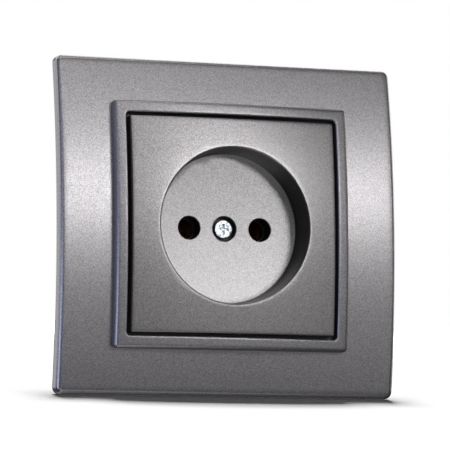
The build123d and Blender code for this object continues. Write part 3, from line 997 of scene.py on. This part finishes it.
below = add_node(tree, "ShaderNodeNewGeometry").outputs["Backfacing"]
away = add_node(tree, "ShaderNodeMath", {0: below, 1: fade}, operation="MAXIMUM").outputs[0]
clear = add_node(tree, "ShaderNodeBsdfTransparent").outputs["BSDF"]
sheet = add_node(tree, "ShaderNodeMixShader", {0: away, 1: matt, 2: clear}).outputs["Shader"]
add_node(tree, "ShaderNodeOutputMaterial", {"Surface": sheet})
floor = make_piece("paper_floor", verts, faces, white_paper)
if floor.data.polygons[0].normal.z < 0:
    floor.data.flip_normals()
floor.is_shadow_catcher = True
floor.visible_diffuse = False
floor.visible_glossy = False
floor_only = bpy.data.collections.new("floor_only")
all_but_floor = bpy.data.collections.new("all_but_floor")
but_cover = bpy.data.collections.new("all_but_floor_and_cover")
for group in (floor_only, all_but_floor, but_cover):
    group.objects.link(floor)
but_cover.objects.link(cover_shell)
for group in (all_but_floor, but_cover):
    for member in group.collection_objects:
        member.light_linking.link_state = "EXCLUDE"

# Studio: a white room, which the camera sees behind the socket, and a dark cloth hung round the
# socket on every side, which the camera looks past. The cloth is what the pearl and the zinc
# reflect between the lamps, and it gives them their darks.
scene = bpy.context.scene
scene.view_settings.view_transform = "Standard"
room_glow = 0.1  # what the white room lights the socket with
world = bpy.data.worlds.new("white_studio")
world.use_nodes = True
tree = world.node_tree
tree.nodes.clear()
ray = add_node(tree, "ShaderNodeLightPath").outputs
seen = add_node(
    tree, "ShaderNodeMath", {0: ray["Is Camera Ray"], 1: ray["Is Glossy Ray"]}, operation="MAXIMUM"
).outputs[0]
seen = add_node(
    tree, "ShaderNodeMath", {0: seen, 1: ray["Is Transmission Ray"]}, operation="MAXIMUM"
).outputs[0]
strength = add_node(
    tree, "ShaderNodeMapRange", {"Value": seen, "To Min": room_glow, "To Max": 1.0}
).outputs["Result"]
sky = add_node(tree, "ShaderNodeBackground", {"Color": (1, 1, 1, 1), "Strength": strength})
add_node(tree, "ShaderNodeOutputWorld", {"Surface": sky.outputs["Background"]})
scene.world = world


def direction(azimuth, elevation):
    """Where these angles point from the socket, the first turned from the front to the right."""
    level = cos(elevation)
    return Vector((sin(azimuth) * level, -cos(azimuth) * level, sin(elevation)))


cloth_distance = 1300.0
cloth_side = 172  # degrees, as the two below
cloth_top = 84
cloth_bottom = -75
cloth_steps = 48
cloth_grey = "3f3f3f"
dark_cloth, tree = new_material("dark_studio_cloth")
glow = add_node(tree, "ShaderNodeEmission", {"Color": linear(cloth_grey), "Strength": 1.0})
add_node(tree, "ShaderNodeOutputMaterial", {"Surface": glow.outputs["Emission"]})
verts, faces = [], []
for i in range(cloth_steps + 1):
    for j in range(cloth_steps + 1):
        azimuth = radians(-cloth_side + 2 * cloth_side * i / cloth_steps)
        elevation = radians(cloth_bottom + (cloth_top - cloth_bottom) * j / cloth_steps)
        verts.append(cloth_distance * direction(azimuth, elevation))
        if i and j:
            corner = i * (cloth_steps + 1) + j
            before = corner - cloth_steps - 1
            faces.append((corner, corner - 1, before - 1, before))
cloth = make_piece("dark_cloth", verts, faces, dark_cloth)
cloth.visible_camera = False
cloth.visible_diffuse = False
cloth.visible_shadow = False

# Lamps: soft boxes inside the cloth. A bright low one in front, a little to the right, lays its
# glow across the crowned faces, with dim ones round it; a cold one at the left draws the blue lines
# along the edges; wide ones above, beside and behind show the other sides.
lamp_distance = 1200.0
white = "ffffff"
pale_blue = "d2dbff"
cold_blue = "c3d0ff"
floor_lamp_size = 200.0
floor_lamp_power = 20.0
floor_lamp_back = 10.0


def hang(name, light, place, lights):
    """Hangs a lamp, unseen by the camera, that lights these pieces."""
    lamp = bpy.data.objects.new(name, light)
    lamp.location = place
    lamp.visible_camera = False
    lamp.light_linking.receiver_collection = lights
    bpy.context.scene.collection.objects.link(lamp)
    return lamp


def add_soft_box(name, azimuths, elevations, radiance, colour=white, lights=all_but_floor):
    """A soft box that fills these angles, in degrees, as seen from the socket."""
    azimuth, elevation = (radians(sum(ends) / 2) for ends in (azimuths, elevations))
    wide, high = (radians(ends[1] - ends[0]) for ends in (azimuths, elevations))
    light = bpy.data.lights.new(name, "AREA")
    light.shape = "RECTANGLE"
    light.size = 2 * lamp_distance * mm * sin(wide / 2) * cos(elevation)
    light.size_y = 2 * lamp_distance * mm * sin(high / 2)
    light.energy = radiance * pi * light.size * light.size_y
    light.color = linear(colour)[:3]
    towards = direction(azimuth, elevation)
    lamp = hang(name, light, towards * lamp_distance * mm, lights)
    lamp.rotation_euler = towards.to_track_quat("Z", "Y").to_euler()


add_soft_box("key", (13, 25), (8.5, 14), 19.8)
add_soft_box("beside_key", (25, 33), (7, 14), 3.0)
add_soft_box("left_of_key", (-4, 10), (6, 14), 1.3)
add_soft_box("above_key", (4, 20), (14.5, 21), 0.9)
add_soft_box("high_key", (4, 24), (21, 36), 1.7)
add_soft_box("above_left", (-15, 4), (22, 36), 1.8)
add_soft_box("right", (33, 55), (-4, 21), 0.4)
add_soft_box("low", (-25, 60), (-18, 0), 0.5)
add_soft_box("left_fill", (-44, -24), (-12, 30), 1.6, pale_blue, but_cover)
add_soft_box("cold_left", (-86, -42), (-45, 5), 3.4, cold_blue, but_cover)
add_soft_box("side_left", (-130, -88), (-10, 45), 1.3)
add_soft_box("overhead", (-60, 60), (58, 82), 2.8)
add_soft_box("bounce", (-60, 60), (-72, -30), 0.7)
add_soft_box("side_right", (85, 130), (-10, 45), 2.2)
add_soft_box("back_right", (115, 165), (28, 65), 2.8)
add_soft_box("back_left", (-165, -115), (28, 65), 2.8)
add_soft_box("rear_left", (-172, -130), (-15, 26), 0.9)
add_soft_box("rear_right", (135, 175), (-10, 26), 0.8)
floor_light = bpy.data.lights.new("floor_light", "AREA")
floor_light.size = floor_lamp_size * mm
floor_light.energy = floor_lamp_power
hang("floor_light", floor_light, (0.0, floor_lamp_back * mm, lamp_distance * mm), floor_only)

# Camera: where the photograph's own edges put it, to the left of the socket and a little below it,
# with a long lens.
azimuth = radians(-19.913)
elevation = radians(-6.331)
roll = radians(-0.322)
distance = 883.349
target = Vector((-1.644, -8.0, 0.433))
focal_pixels = 3503.692
photo_pixels = 450
sensor_width = 36.0
back = direction(azimuth, elevation)
right = (-back).cross(Vector((0, 0, 1))).normalized()
up = right.cross(-back)
rolled_right = right * cos(roll) + up * sin(roll)
rolled_up = up * cos(roll) - right * sin(roll)
turn = Matrix((rolled_right, rolled_up, back)).transposed().to_4x4()
lens = bpy.data.cameras.new("camera")
lens.sensor_width = sensor_width
lens.lens = focal_pixels / photo_pixels * sensor_width
camera = bpy.data.objects.new("camera", lens)
camera.matrix_world = Matrix.Translation((target + back * distance) * mm) @ turn
bpy.context.scene.collection.objects.link(camera)
scene.camera = camera
